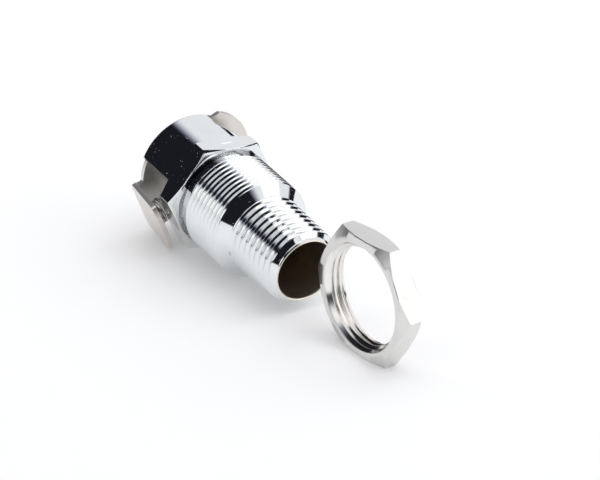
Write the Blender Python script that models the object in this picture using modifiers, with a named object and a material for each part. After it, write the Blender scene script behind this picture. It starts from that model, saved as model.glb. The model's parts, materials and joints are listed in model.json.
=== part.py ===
"""Panel-mount quick-release fluid coupling with a thumb latch, and its loose jam nut.

The coupling lies on a flat surface with its latch pushed in, and the nut stands on one
flat in front of the pipe end. World axes: +X from the head towards the pipe end, +Z up,
origin on the surface under the middle of the whole assembly. Each sub-part of the coupling
is modelled in the coupling's own axes: +Z along the bore from the pipe end to the head,
+X across it towards the latch plate's ear, and -X towards the thumb pad.
"""

import math

import bmesh
import bpy
from mathutils import Matrix, Vector

MM = 0.001
INCH = 0.0254
FACETS = 48  # flats round a turned shape
FIT_GAP = 0.05 * MM  # running clearance of a sliding piece, each side
SEAT_GAP = 0.3 * MM  # space left between two pieces that rest on each other
MERGE = 0.002 * MM
TRIM_MARGIN = 0.1 * MM  # how far a chamfer starts inside the flats, and reaches past the corners
CUT_PAST = 1.0 * MM  # how far a cutter runs past the face it opens

# Stations along the bore, measured from the pipe end.
OVERALL_LENGTH = 37.65 * MM
PIPE_THREAD_LENGTH = 12.6 * MM
SHOULDER_LENGTH = 1.4 * MM
PANEL_THREAD_LENGTH = 10.2 * MM
RELIEF_LENGTH = 1.1 * MM
HEX_LENGTH = 4.1 * MM

# 1/4-18 taper pipe thread and 11/16-24 panel thread.
PIPE_PITCH = INCH / 18
PIPE_CREST = 6.57 * MM  # at the pipe end
PIPE_DEPTH = 0.95 * MM
PIPE_TAPER = 1 / 32  # growth of the radius along the thread
PIPE_LIP = 0.28 * MM  # flat ring round the bore at the pipe end
PANEL_PITCH = INCH / 24
PANEL_CREST = 11 / 32 * INCH
PANEL_DEPTH = 0.62 * MM
SHOULDER_EDGE = 0.12 * MM  # the shoulder's edge stands this far under the crest
RELIEF_DEPTH = 0.75 * MM

HEAD_EDGE = 0.25 * MM
HEX_STEP = INCH / 64  # the hexagon's flats outside the panel thread: 23/32 across flats
HEAD_PROUD = 0.1 * MM  # the most that the head may stand out past the hexagon's flats
HEX_CHAMFER = math.radians(30)
CLAMP_RING_GAP = 0.05 * MM  # the ring that bears on the panel starts this far outside the crest
CLAMP_RECESS = 0.1 * MM  # depth of the hexagon's face inside that ring

# The bore, from the pipe end to the head. Each step is a difference of two radii.
PIPE_WALL = 0.45 * MM  # under the root of the pipe thread
CHAMBER_STEP = 0.22 * MM
SEAT_STEP = 1.45 * MM
PLUG_BORE = 4.1 * MM
PIN_WEB = 0.4 * MM  # walls on both sides of the locking pin's hole, together
GUIDE_STATION = 13.4 * MM
SEAT_LENGTH = 1.1 * MM
SEAT_STATION = 21.87 * MM  # front edge of the conical seat
COLLAR_DEPTH = 4.45 * MM
BORE_LEAD_IN = 0.5 * MM
FLAT_WALL = 0.838 * MM  # between the collar bore and the head's flats

# Latch plate, a bent stamping in a slot across the head.
FLANGE_THICKNESS = 0.65 * MM  # wall in front of the slot
PLATE_THICKNESS = 0.8 * MM
SLOT_CLEARANCE = 0.1 * MM
PLATE_WEB = 0.85 * MM  # sheet on each side of the hole
EAR_PROUD = 2.08 * MM
EAR_RADIUS = 8.4 * MM
NECK_WIDTH = 6.6 * MM
BEND_CLEARANCE = 0.43 * MM  # from the head to the start of the bend
BEND_RADIUS = 0.7 * MM  # to the middle of the sheet
BEND_ANGLE = math.radians(84.8)
BEND_STEPS = 8
PAD_WIDTH = 9.8 * MM
PAD_LENGTH = 9.4 * MM
PAD_END_RADIUS = 10.0 * MM
PAD_CORNER = 0.7 * MM
EAR_POCKET_LENGTH = 2.4 * MM

# Latch spring, between the pad and a shallow seat in the head's flat.
LATCH_SPRING_DROP = 4.9 * MM  # behind the latch plate
LATCH_SPRING_WIRE = 0.45 * MM
LATCH_SPRING_RADIUS = 1.95 * MM  # to the middle of the wire
LATCH_SPRING_TURNS = 4.5
SPRING_SEAT_DEPTH = 0.55 * MM

# Locking pin, which stands in the plate's hole and holds the latch pushed in.
PIN_RADIUS = 0.5 * MM
PIN_TIP_RADIUS = 0.1 * MM
PIN_EDGE = 0.12 * MM
PIN_CONE_SLOPE = 1 / 1.5  # radius gained for each unit along the nose
PIN_LENGTH = 6.2 * MM
PIN_HOLE_LENGTH = 7.7 * MM
PIN_SPRING_WIRE = 0.16 * MM
PIN_SPRING_TURNS = 9
PIN_LASH = 0.2 * MM

# Shut-off valve.
FLOW_GAP = 0.95 * MM  # between the poppet's disc and the chamber
POPPET_THICKNESS = 1.5 * MM
POPPET_NOSE = 1.5 * MM
POPPET_LIP = (0.2 * MM, 0.3 * MM)  # height and length of the lip that holds the seal
POPPET_CAP = 2.4 * MM
POPPET_CAP_LENGTH = 1.2 * MM
POPPET_CAP_NECK = 0.6 * MM
POPPET_REACH = 5.2 * MM  # nose in front of the seat
POPPET_STEM = 1.1 * MM
POPPET_STEM_LENGTH = 6.2 * MM
SEAL_WIRE = 1.2 * MM
SEAL_GROOVE_DEPTH = 0.85 * MM
VALVE_SPRING_WIRE = 0.5 * MM
VALVE_SPRING_INSET = 1.05 * MM  # middle of the wire inside the disc's edge
VALVE_SPRING_TURNS = 3.5
GUIDE_RIM_THICKNESS = 1.0 * MM
GUIDE_RIM_WALL = 0.8 * MM
GUIDE_HUB_RADIUS = 2.0 * MM
GUIDE_HUB_LENGTH = 2.0 * MM
GUIDE_ARM_WIDTH = 1.1 * MM
GUIDE_ARMS = 3
RING_WIRE = 0.7 * MM
RING_GROOVE_DEPTH = 0.3 * MM
RING_OPENING = math.radians(50)
RING_STEPS = 40

COIL_POINTS = 14  # for each turn of a spring
COIL_EASING = 0.6  # 0 is an even pitch, 1 has flat ends

# Jam nut.
NUT_STEP = INCH / 16  # the flats outside the panel thread: 13/16 across flats
NUT_THICKNESS = 5 / 32 * INCH
NUT_THREAD_GAP = 0.1 * MM
NUT_COUNTERSINK_STEP = 0.369 * MM

# How the pieces lie on the surface.
LATCH_ROLL = math.radians(66.5)  # the thumb pad's angle from straight down
NUT_CLEARANCE = 4.085 * MM  # from the pipe end to the nut's nearest corner
NUT_ASIDE = 1.6 * MM
NUT_TURN = math.radians(5.2)

CHROME = ((0.80, 0.81, 0.82), 1.0, 0.08)
NICKEL = ((0.66, 0.63, 0.59), 1.0, 0.28)
STAINLESS = ((0.62, 0.58, 0.53), 1.0, 0.32)
SPRING_STEEL = ((0.55, 0.54, 0.52), 1.0, 0.25)
BRASS = ((0.62, 0.47, 0.25), 1.0, 0.30)
SEAL_RUBBER = ((0.02, 0.02, 0.02), 0.0, 0.60)

# Stations and heights that follow from the sizes above.
SHOULDER_STATION = PIPE_THREAD_LENGTH + SHOULDER_LENGTH
RELIEF_STATION = SHOULDER_STATION + PANEL_THREAD_LENGTH
HEX_STATION = RELIEF_STATION + RELIEF_LENGTH
HEAD_STATION = HEX_STATION + HEX_LENGTH
SLOT_FRONT = OVERALL_LENGTH - FLANGE_THICKNESS
SLOT_REAR = SLOT_FRONT - PLATE_THICKNESS - 2 * SLOT_CLEARANCE
PLATE_STATION = (SLOT_FRONT + SLOT_REAR) / 2
LATCH_SPRING_STATION = PLATE_STATION - LATCH_SPRING_DROP
COLLAR_STATION = OVERALL_LENGTH - COLLAR_DEPTH
SEAT_REAR = SEAT_STATION - SEAT_STEP
PIN_TIP = PLATE_STATION + PLATE_THICKNESS / 2
PIN_FOOT = PIN_TIP - PIN_LENGTH
PIN_HOLE_END = COLLAR_STATION - PIN_HOLE_LENGTH

# Radii, widths and reaches across the bore that follow from the sizes above.
PIPE_BORE = PIPE_CREST - PIPE_DEPTH - PIPE_WALL
PIPE_LEAD_IN = PIPE_BORE + PIPE_LIP
CHAMBER_BORE = PIPE_BORE - CHAMBER_STEP
SEAT_BORE = CHAMBER_BORE - SEAT_STEP
COLLAR_BORE = PLUG_BORE + PIN_WEB + 2 * (PIN_RADIUS + FIT_GAP)
PLATE_HOLE = COLLAR_BORE + FIT_GAP
PLATE_WIDTH = 2 * (PLATE_HOLE + PLATE_WEB)
SLOT_WIDTH = PLATE_WIDTH + 2 * SLOT_CLEARANCE
FLAT_DEPTH = COLLAR_BORE + FLAT_WALL
HEAD_RADIUS = math.hypot(FLAT_DEPTH, SLOT_WIDTH / 2)
HEX_FLATS = 2 * max(PANEL_CREST + HEX_STEP, HEAD_RADIUS - HEAD_PROUD)
HEX_CORNER = HEX_FLATS / math.sqrt(3)
EAR_REACH = HEAD_RADIUS + EAR_PROUD
BEND_REACH = max(HEAD_RADIUS, HEX_FLATS / 2) + BEND_CLEARANCE
PIN_OFFSET = PLATE_HOLE - PIN_LASH - PIN_RADIUS
POPPET_RADIUS = CHAMBER_BORE - FLOW_GAP
SEAL_INNER = POPPET_RADIUS - SEAL_GROOVE_DEPTH
SEAL_RADIUS = SEAL_INNER + SEAL_WIRE / 2
VALVE_SPRING_RADIUS = POPPET_RADIUS - VALVE_SPRING_INSET
NUT_FLATS = 2 * (PANEL_CREST + NUT_STEP)
NUT_COUNTERSINK = PANEL_CREST + NUT_COUNTERSINK_STEP
NUT_AHEAD = NUT_FLATS / math.sqrt(3) + NUT_CLEARANCE  # nut's centre in front of the pipe end


def seal_station():
    """Where the ring's centre lies, a seat gap short of the 45 degree seat."""
    reach = (SEAL_WIRE / 2 + SEAT_GAP) * math.sqrt(2)
    return SEAT_STATION + SEAT_BORE - SEAL_RADIUS - reach


def lie_tilt():
    """Angle of the bore to the surface: the panel thread touches it, and the hexagon or the head."""
    corner_depth = HEX_CORNER * math.sin(LATCH_ROLL)
    corner_station = HEX_STATION + hex_chamfer_height(HEX_FLATS)
    on_corner = math.atan2(corner_depth - PANEL_CREST, corner_station - SHOULDER_STATION)
    on_head = math.atan2(HEAD_RADIUS - PANEL_CREST, OVERALL_LENGTH - SHOULDER_STATION)
    return max(on_corner, on_head)


def hex_chamfer_height(flats):
    """Height along the axis that a hexagon's chamfer takes off its corners."""
    return (flats / math.sqrt(3) - flats / 2) * math.tan(HEX_CHAMFER)


def clear_scene():
    for leftover in list(bpy.data.objects):
        bpy.data.objects.remove(leftover)


def material(name, finish):
    colour, metallic, roughness = finish
    made = bpy.data.materials.new(name)
    made.use_nodes = True
    shader = made.node_tree.nodes["Principled BSDF"]
    shader.inputs["Base Color"].default_value = (*colour, 1.0)
    shader.inputs["Metallic"].default_value = metallic
    shader.inputs["Roughness"].default_value = roughness
    return made


def add_object(name, data, collection, parent=None, place=None):
    """Links a new object to a collection, at a place in its parent's axes."""
    made = bpy.data.objects.new(name, data)
    collection.objects.link(made)
    made.parent = parent
    made.matrix_local = place or Matrix.Identity(4)
    return made


def add_helper(name, data, collection, parent=None, place=None):
    """Adds a cutter or a joining piece, which isn't part of the model."""
    made = add_object(name, data, collection, parent, place)
    made.hide_render = True
    made.display_type = "WIRE"
    return made


def evaluated_mesh(source):
    """The mesh of a temporary object as its modifiers leave it; the object is removed."""
    bpy.context.scene.collection.objects.link(source)
    bpy.context.view_layer.update()
    graph = bpy.context.evaluated_depsgraph_get()
    mesh = bpy.data.meshes.new_from_object(source.evaluated_get(graph))
    bpy.data.objects.remove(source)
    return mesh


def swept(outline, pitch=0.0, turns=1):
    """Sweeps an outline of (radius, height) points round Z with a Screw modifier."""
    edge = bpy.data.meshes.new("outline")
    points = [(radius, 0.0, height) for radius, height in outline]
    edge.from_pydata(points, [(i, i + 1) for i in range(len(points) - 1)], [])
    source = bpy.data.objects.new("sweep", edge)
    screw = source.modifiers.new("turn", "SCREW")
    screw.steps = screw.render_steps = FACETS
    screw.screw_offset = pitch
    screw.iterations = turns
    screw.use_merge_vertices = True
    screw.merge_threshold = MERGE
    return evaluated_mesh(source)


def joined(meshes):
    """One closed mesh from open surfaces whose edge rings coincide."""
    shape = bmesh.new()
    for mesh in meshes:
        shape.from_mesh(mesh)
    bmesh.ops.remove_doubles(shape, verts=shape.verts, dist=MERGE)
    bmesh.ops.dissolve_degenerate(shape, edges=shape.edges, dist=MERGE)
    bmesh.ops.recalc_face_normals(shape, faces=shape.faces)
    whole = bpy.data.meshes.new("shape")
    shape.to_mesh(whole)
    shape.free()
    whole.shade_smooth()
    whole.set_sharp_from_angle(angle=math.radians(30))
    return whole


def turned(outline):
    """A solid or a ring turned from an outline of (radius, height) points, top to bottom."""
    return joined([swept(outline)])


def thread_surface(low, high, pitch, depth, crest, low_ring, high_ring, limit):
    """The open side of a thread between two heights, closed down to a plain ring at each.

    crest and limit are functions of the height: the crest's radius, and the radius that a
    lead-in or a countersink holds the surface to. low_ring and high_ring are the two radii.
    """
    turns = math.ceil((high - low) / pitch) + 2
    start = low - 1.5 * pitch
    side = [(-depth, 0.0), (0.0, pitch / 2), (-depth, pitch)]
    outline = [(PANEL_CREST + fall, start + rise) for fall, rise in side]
    mesh = swept(outline, pitch, turns)
    for vertex in mesh.vertices:
        x, y, height = vertex.co
        angle = math.atan2(y, x)
        fall = math.hypot(x, y) - PANEL_CREST
        if height <= low:
            height, radius = low, low_ring
        elif height >= high:
            height, radius = high, high_ring
        else:
            radius = limit(crest(height) + fall, height)
        vertex.co = (radius * math.cos(angle), radius * math.sin(angle), height)
    return mesh


def pipe_crest(height):
    return PIPE_CREST + PIPE_TAPER * height


def hexagon(flats, low, high, collection, name, ring=0.0):
    """A hexagonal prism with a vertex towards +Y, its two faces chamfered to a circle.

    Where a ring's radius is given, the lower face is recessed inside it.
    """
    prism = bmesh.new()
    centre = Matrix.Translation((0, 0, (low + high) / 2))
    bmesh.ops.create_cone(
        prism, cap_ends=True, segments=6, radius1=flats / math.sqrt(3),
        radius2=flats / math.sqrt(3), depth=high - low, matrix=centre,
    )
    bmesh.ops.rotate(prism, verts=prism.verts, matrix=Matrix.Rotation(hexagon_turn(prism), 3, "Z"))
    mesh = bpy.data.meshes.new(name)
    prism.to_mesh(mesh)
    prism.free()
    reach = flats / math.sqrt(3) + TRIM_MARGIN
    face = flats / 2 - TRIM_MARGIN
    slope = (reach - face) * math.tan(HEX_CHAMFER)
    recess = [(ring, low), (ring, low + CLAMP_RECESS), (0, low + CLAMP_RECESS)] if ring else [(0, low)]
    outline = [
        (0, high), (face, high), (reach, high - slope), (reach, low + slope), (face, low), *recess,
    ]
    trim = add_helper(name + "_trim", turned(outline), collection)
    return mesh, trim


def hexagon_turn(prism):
    """Angle that brings the first corner of a six-sided prism to +Y."""
    prism.verts.ensure_lookup_table()
    corner = prism.verts[0].co
    return math.radians(90) - math.atan2(corner.y, corner.x)


def box(low, high):
    """A box between two corners."""
    shape = bmesh.new()
    bmesh.ops.create_cube(shape, size=1.0)
    low, high = Vector(low), Vector(high)
    bmesh.ops.scale(shape, verts=shape.verts, vec=high - low)
    bmesh.ops.translate(shape, verts=shape.verts, vec=(high + low) / 2)
    mesh = bpy.data.meshes.new("box")
    shape.to_mesh(mesh)
    shape.free()
    return mesh


def boolean(target, operation, other):
    step = target.modifiers.new(other.name, "BOOLEAN")
    step.operation = operation
    step.object = other


def along_x(reach):
    """Turns a shape's own Z to -X and starts it at -reach along X."""
    return Matrix.Translation((-reach, 0, 0)) @ Matrix.Rotation(math.radians(-90), 4, "Y")


def coil(name, radius, wire, length, turns, collection, parent, place):
    """A compression spring: a helix with nearly flat end turns, from its own z = 0 up."""
    count = round(turns * COIL_POINTS)
    curve = bpy.data.curves.new(name, "CURVE")
    curve.dimensions = "3D"
    curve.bevel_depth = wire / 2
    curve.bevel_resolution = 2
    curve.use_fill_caps = True
    line = curve.splines.new("POLY")
    line.points.add(count)
    rise = length - wire
    for step, point in enumerate(line.points):
        share = step / count
        eased = share - COIL_EASING * math.sin(2 * math.pi * share) / (2 * math.pi)
        angle = 2 * math.pi * turns * share
        height = wire / 2 + rise * eased
        point.co = (radius * math.cos(angle), radius * math.sin(angle), height, 1.0)
    return add_object(name, curve, collection, parent, place)


def shaft_mesh():
    """The turned outside of the coupling body, with both threads."""
    face = HEAD_RADIUS - HEAD_EDGE
    pipe_end = pipe_crest(PIPE_THREAD_LENGTH)
    shoulder = PANEL_CREST - SHOULDER_EDGE
    relief = PANEL_CREST - RELIEF_DEPTH
    head = swept([
        (0, OVERALL_LENGTH), (face, OVERALL_LENGTH), (HEAD_RADIUS, OVERALL_LENGTH - HEAD_EDGE),
        (HEAD_RADIUS, HEAD_STATION - HEX_LENGTH / 2), (relief, HEAD_STATION - HEX_LENGTH / 2),
        (relief, RELIEF_STATION),
    ])
    panel = thread_surface(
        SHOULDER_STATION, RELIEF_STATION, PANEL_PITCH, PANEL_DEPTH,
        lambda height: PANEL_CREST, shoulder, relief,
        lambda radius, height: min(radius, relief + RELIEF_STATION - height),
    )
    cone = swept([(shoulder, SHOULDER_STATION), (pipe_end, PIPE_THREAD_LENGTH)])
    pipe = thread_surface(
        0.0, PIPE_THREAD_LENGTH, PIPE_PITCH, PIPE_DEPTH, pipe_crest, PIPE_LEAD_IN, pipe_end,
        lambda radius, height: min(radius, PIPE_LEAD_IN + height),
    )
    end = swept([(PIPE_LEAD_IN, 0.0), (0.0, 0.0)])
    return joined([head, panel, cone, pipe, end])


def bore_mesh():
    """The bore as a solid: lead-in, collar and plug bores, valve seat, chamber and pipe bore."""
    ring_rear, ring_front = ring_groove()
    front = OVERALL_LENGTH + CUT_PAST
    groove = PIPE_BORE + RING_GROOVE_DEPTH
    return turned([
        (0, front), (COLLAR_BORE + BORE_LEAD_IN + CUT_PAST, front),
        (COLLAR_BORE, OVERALL_LENGTH - BORE_LEAD_IN),
        (COLLAR_BORE, COLLAR_STATION), (PLUG_BORE, COLLAR_STATION),
        (PLUG_BORE, SEAT_STATION + SEAT_LENGTH), (SEAT_BORE, SEAT_STATION + SEAT_LENGTH),
        (SEAT_BORE, SEAT_STATION), (CHAMBER_BORE, SEAT_REAR),
        (CHAMBER_BORE, GUIDE_STATION), (PIPE_BORE, GUIDE_STATION),
        (PIPE_BORE, ring_front), (groove, ring_front), (groove, ring_rear), (PIPE_BORE, ring_rear),
        (PIPE_BORE, -CUT_PAST), (0, -CUT_PAST),
    ])


def ring_groove():
    """Rear and front heights of the retaining ring's groove."""
    front = GUIDE_STATION - SEAT_GAP - GUIDE_RIM_THICKNESS - SEAT_GAP + FIT_GAP
    return front - RING_WIRE - 2 * FIT_GAP, front


def coupling_body(parts, cutters, axes):
    body = add_object("coupling_body", shaft_mesh(), parts, axes)
    ring = PANEL_CREST + CLAMP_RING_GAP
    hex_mesh, hex_trim = hexagon(
        HEX_FLATS, HEX_STATION, HEAD_STATION, cutters, "wrench_hexagon", ring
    )
    collar = add_helper("wrench_hexagon", hex_mesh, cutters, axes)
    hex_trim.parent = axes
    boolean(collar, "INTERSECT", hex_trim)
    boolean(body, "UNION", collar)
    out = 2 * HEAD_RADIUS
    half = SLOT_WIDTH / 2
    cuts = {
        "latch_slot": box((-out, -half, SLOT_REAR), (out, half, SLOT_FRONT)),
        "thumb_flat": box(
            (-out, -out, HEAD_STATION + FIT_GAP), (-FLAT_DEPTH, out, OVERALL_LENGTH + out)
        ),
        "ear_pocket": box(
            (FLAT_DEPTH, -half, SLOT_REAR - EAR_POCKET_LENGTH), (out, half, PLATE_STATION)
        ),
        "spring_seat": spring_seat_mesh(out),
        "bore": bore_mesh(),
        "pin_hole": pin_hole_mesh(),
    }
    for name, mesh in cuts.items():
        boolean(body, "DIFFERENCE", add_helper(name, mesh, cutters, axes))
    return body


def spring_seat_mesh(length):
    """The latch spring's round seat in the thumb side, as a solid of this length."""
    radius = LATCH_SPRING_RADIUS + LATCH_SPRING_WIRE / 2 + SEAT_GAP
    mesh = turned([(0, length), (radius, length), (radius, 0), (0, 0)])
    station = Matrix.Translation((0, 0, LATCH_SPRING_STATION))
    mesh.transform(station @ along_x(FLAT_DEPTH - SPRING_SEAT_DEPTH))
    return mesh


def pin_hole_mesh():
    """The locking pin's blind hole, from the collar bore's floor."""
    radius = PIN_RADIUS + FIT_GAP
    top = COLLAR_STATION + CUT_PAST
    mesh = turned([(0, top), (radius, top), (radius, PIN_HOLE_END), (0, PIN_HOLE_END)])
    mesh.transform(Matrix.Translation((PIN_OFFSET, 0, 0)))
    return mesh


def arc(centre, radius, start, end, steps):
    """Points along an arc, both ends included; angles in radians."""
    angles = [start + (end - start) * step / steps for step in range(steps + 1)]
    return [(centre[0] + radius * math.cos(a), centre[1] + radius * math.sin(a)) for a in angles]


def plate_outline():
    """Half of the flat blank, y >= 0, from the middle of the ear round to the pad's end."""
    half = PLATE_WIDTH / 2
    ear_centre = EAR_REACH - EAR_RADIUS
    ear_angle = math.asin(half / EAR_RADIUS)
    shoulder_angle = math.pi - math.asin(half / HEAD_RADIUS)
    neck_angle = math.pi - math.asin(NECK_WIDTH / 2 / HEAD_RADIUS)
    bend_length = BEND_RADIUS * BEND_ANGLE
    pad_start = -(BEND_REACH + bend_length)
    tip = pad_start - PAD_LENGTH
    side = PAD_WIDTH / 2
    end_centre = tip + PAD_END_RADIUS
    end_angle = math.asin((side - PAD_CORNER / 2) / PAD_END_RADIUS)
    points = arc((ear_centre, 0), EAR_RADIUS, 0, ear_angle, 10)
    points += arc((0, 0), HEAD_RADIUS, shoulder_angle, neck_angle, 4)
    points += [(-BEND_REACH, NECK_WIDTH / 2), (pad_start, NECK_WIDTH / 2), (pad_start, side)]
    points += [(end_centre - PAD_END_RADIUS * math.cos(end_angle) + PAD_CORNER, side)]
    points += arc((end_centre, 0), PAD_END_RADIUS, math.pi - end_angle, math.pi, 6)
    return points


def plate_blank():
    """The flat blank as a filled sheet with its hole, from a 2D curve."""
    half = plate_outline()
    whole = half + [(x, -y) for x, y in reversed(half[1:-1])]
    hole = arc((0, 0), PLATE_HOLE, 0, 2 * math.pi, FACETS)[:-1]
    curve = bpy.data.curves.new("blank", "CURVE")
    curve.dimensions = "2D"
    curve.fill_mode = "BOTH"
    for outline in (whole, hole):
        line = curve.splines.new("POLY")
        line.points.add(len(outline) - 1)
        line.use_cyclic_u = True
        for point, (x, y) in zip(line.points, outline):
            point.co = (x, y, 0.0, 1.0)
    return evaluated_mesh(bpy.data.objects.new("blank", curve))


def bent(past_bend):
    """Where a point of the sheet lies, across and along the bore, from its way past the bend line."""
    angle = min(past_bend / BEND_RADIUS, BEND_ANGLE)
    straight = max(0.0, past_bend - BEND_RADIUS * BEND_ANGLE)
    reach = BEND_REACH + BEND_RADIUS * math.sin(angle) + straight * math.cos(angle)
    drop = BEND_RADIUS * (1 - math.cos(angle)) + straight * math.sin(angle)
    return -reach, PLATE_STATION - drop


def latch_plate(parts, axes):
    """A sheet cut at the bend's steps, bent, and given its thickness by Solidify."""
    sheet = bmesh.new()
    sheet.from_mesh(plate_blank())
    bmesh.ops.remove_doubles(sheet, verts=sheet.verts, dist=MERGE)
    for step in range(BEND_STEPS + 1):
        line = -BEND_REACH - BEND_RADIUS * BEND_ANGLE * step / BEND_STEPS
        geometry = sheet.verts[:] + sheet.edges[:] + sheet.faces[:]
        bmesh.ops.bisect_plane(
            sheet, geom=geometry, dist=MERGE, plane_co=(line, 0, 0), plane_no=(1, 0, 0)
        )
    for vertex in sheet.verts:
        past = -BEND_REACH - vertex.co.x
        if past > 0:
            vertex.co.x, vertex.co.z = bent(past)
        else:
            vertex.co.z = PLATE_STATION
    bmesh.ops.recalc_face_normals(sheet, faces=sheet.faces)
    mesh = bpy.data.meshes.new("latch_plate")
    sheet.to_mesh(mesh)
    sheet.free()
    plate = add_object("latch_plate", mesh, parts, axes)
    wall = plate.modifiers.new("sheet_thickness", "SOLIDIFY")
    wall.thickness = PLATE_THICKNESS
    wall.offset = 0.0
    wall.use_even_offset = True
    return plate


def latch_spring(parts, axes):
    """Coil between the head's spring seat and the inner face of the thumb pad."""
    drop = PLATE_STATION - LATCH_SPRING_STATION
    slope = 1 / math.tan(BEND_ANGLE)
    pad_reach = BEND_REACH + BEND_RADIUS + (drop - BEND_RADIUS) * slope - PLATE_THICKNESS / 2
    low = FLAT_DEPTH - SPRING_SEAT_DEPTH + FIT_GAP * 2
    lean = (LATCH_SPRING_RADIUS + LATCH_SPRING_WIRE / 2) * slope
    length = pad_reach - lean - low - FIT_GAP * 2
    place = Matrix.Translation((0, 0, LATCH_SPRING_STATION)) @ along_x(low)
    return coil(
        "latch_spring", LATCH_SPRING_RADIUS, LATCH_SPRING_WIRE, length, LATCH_SPRING_TURNS,
        parts, axes, place,
    )


def locking_pin(parts, axes):
    """A straight pin with a conical nose that is level with the front of the latch plate."""
    nose = (PIN_RADIUS - PIN_TIP_RADIUS) / PIN_CONE_SLOPE
    mesh = turned([
        (0, PIN_TIP), (PIN_TIP_RADIUS, PIN_TIP), (PIN_RADIUS, PIN_TIP - nose),
        (PIN_RADIUS, PIN_FOOT + PIN_EDGE), (PIN_RADIUS - PIN_EDGE, PIN_FOOT), (0, PIN_FOOT),
    ])
    return add_object("locking_pin", mesh, parts, axes, Matrix.Translation((PIN_OFFSET, 0, 0)))


def locking_pin_spring(parts, axes):
    low = PIN_HOLE_END + FIT_GAP
    place = Matrix.Translation((PIN_OFFSET, 0, low))
    radius = PIN_RADIUS - PIN_SPRING_WIRE / 2
    length = PIN_FOOT - low - FIT_GAP
    return coil(
        "locking_pin_spring", radius, PIN_SPRING_WIRE, length, PIN_SPRING_TURNS, parts, axes, place
    )


def valve_poppet(parts, axes):
    """Disc with a seal groove, a nose that the plug pushes, and a stem that the guide holds."""
    middle = seal_station()
    rear_lip = middle - SEAL_WIRE / 2 - FIT_GAP
    front_lip = middle + SEAL_WIRE / 2 + FIT_GAP
    floor = SEAL_INNER - FIT_GAP
    lip = SEAL_INNER + POPPET_LIP[0]
    lip_front = front_lip + POPPET_LIP[1]
    disc_rear = rear_lip - POPPET_THICKNESS
    tip = SEAT_STATION + POPPET_REACH
    cap_rear = tip - POPPET_CAP_LENGTH
    flatness = POPPET_CAP_LENGTH / POPPET_CAP
    dome = arc((0, 0), POPPET_CAP, math.radians(75), math.radians(15), 4)
    cap = [(radius, cap_rear + height * flatness) for radius, height in dome]
    mesh = turned([
        (0, tip), *cap, (POPPET_CAP, cap_rear), (POPPET_NOSE, cap_rear - POPPET_CAP_NECK),
        (POPPET_NOSE, lip_front), (lip, lip_front), (lip, front_lip), (floor, front_lip),
        (floor, rear_lip), (POPPET_RADIUS, rear_lip), (POPPET_RADIUS, disc_rear),
        (POPPET_STEM, disc_rear), (POPPET_STEM, disc_rear - POPPET_STEM_LENGTH),
        (0, disc_rear - POPPET_STEM_LENGTH),
    ])
    return add_object("valve_poppet", mesh, parts, axes)


def valve_seal(parts, axes):
    """The poppet's rubber ring."""
    ring = arc((SEAL_RADIUS, seal_station()), SEAL_WIRE / 2, math.radians(90), math.radians(-270), 12)
    return add_object("valve_seal", turned(ring), parts, axes)


def poppet_rear():
    return seal_station() - SEAL_WIRE / 2 - FIT_GAP - POPPET_THICKNESS


def valve_spring(parts, axes):
    low = GUIDE_STATION - SEAT_GAP + 2 * FIT_GAP
    length = poppet_rear() - low - 2 * FIT_GAP
    return coil(
        "valve_spring", VALVE_SPRING_RADIUS, VALVE_SPRING_WIRE, length, VALVE_SPRING_TURNS,
        parts, axes, Matrix.Translation((0, 0, low)),
    )


def valve_guide(parts, cutters, axes):
    """A hub on three arms in a rim, which the poppet's stem slides through."""
    front = GUIDE_STATION - SEAT_GAP
    rear = front - GUIDE_RIM_THICKNESS
    outer = PIPE_BORE - 2 * FIT_GAP
    inner = outer - GUIDE_RIM_WALL
    rim = turned([(outer, front), (outer, rear), (inner, rear), (inner, front), (outer, front)])
    hub_rear = front - GUIDE_HUB_LENGTH
    hub = turned([
        (0, front), (GUIDE_HUB_RADIUS, front), (GUIDE_HUB_RADIUS, hub_rear), (0, hub_rear),
    ])
    guide = add_object("valve_guide", rim, parts, axes)
    arm_middle = (outer + inner) / 2
    half = GUIDE_ARM_WIDTH / 2
    for number in range(GUIDE_ARMS):
        turn = Matrix.Rotation(2 * math.pi * number / GUIDE_ARMS, 4, "Z")
        arm = box((0, -half, rear + FIT_GAP), (arm_middle, half, front - FIT_GAP))
        boolean(guide, "UNION", add_helper(f"guide_arm_{number + 1}", arm, cutters, axes, turn))
    boolean(guide, "UNION", add_helper("guide_hub", hub, cutters, axes))
    hole_radius = POPPET_STEM + 2 * FIT_GAP
    top, bottom = front + CUT_PAST, hub_rear - CUT_PAST
    hole = turned([(0, top), (hole_radius, top), (hole_radius, bottom), (0, bottom)])
    boolean(guide, "DIFFERENCE", add_helper("guide_hole", hole, cutters, axes))
    return guide


def guide_retaining_ring(parts, axes):
    """An open ring of square wire, sprung into the bore's groove behind the valve guide."""
    rear, front = ring_groove()
    outer = PIPE_BORE + RING_GROOVE_DEPTH - FIT_GAP
    inner = outer - RING_WIRE
    low, high = rear + FIT_GAP, front - FIT_GAP
    section = bmesh.new()
    corners = [(outer, high), (outer, low), (inner, low), (inner, high)]
    corner_points = [section.verts.new((radius, 0, height)) for radius, height in corners]
    face = section.faces.new(corner_points)
    bmesh.ops.rotate(section, verts=section.verts, matrix=Matrix.Rotation(RING_OPENING / 2, 3, "Z"))
    bmesh.ops.spin(
        section, geom=[face, *face.edges, *face.verts], cent=(0, 0, 0), axis=(0, 0, 1),
        angle=2 * math.pi - RING_OPENING, steps=RING_STEPS,
    )
    bmesh.ops.recalc_face_normals(section, faces=section.faces)
    mesh = bpy.data.meshes.new("guide_retaining_ring")
    section.to_mesh(mesh)
    section.free()
    return add_object("guide_retaining_ring", mesh, parts, axes)


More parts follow.
